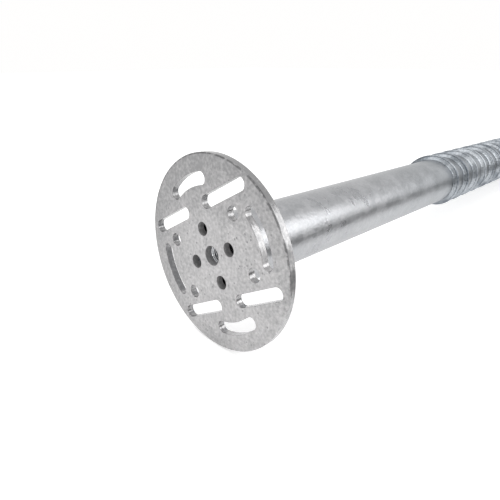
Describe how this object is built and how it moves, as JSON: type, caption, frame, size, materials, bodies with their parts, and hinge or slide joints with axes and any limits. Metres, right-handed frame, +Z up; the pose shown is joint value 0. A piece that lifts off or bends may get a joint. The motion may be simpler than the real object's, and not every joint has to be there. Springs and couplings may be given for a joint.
{
  "type": "foundation ground screw",
  "caption": "Flanged ground screw: round bolt plate with holes and slots on a galvanised tube, a welded helical blade and a tapered point.",
  "frame": {"origin": "centre of the flange's outer face, where the inner bolt circle's axis meets it", "axes": "+Z up; the screw lies on the floor with its axis near +X, dipping 2.54 degrees towards the tip, as it rests on the flange's rim and on the blade"},
  "size_m": [1.603, 0.2, 0.2001],
  "materials": {
    "galvanised_steel": "hot-dip galvanised, matt",
    "galvanised_nut": "hot-dip galvanised, satin",
    "galvanised_weld": "hot-dip galvanised, rough"
  },
  "bodies": {
    "root": {"flange_plate": "galvanised_steel", "shaft_tube": "galvanised_steel", "helical_blade": "galvanised_steel", "centre_nut": "galvanised_nut", "flange_weld": "galvanised_weld"}
  },
  "joints": []
}
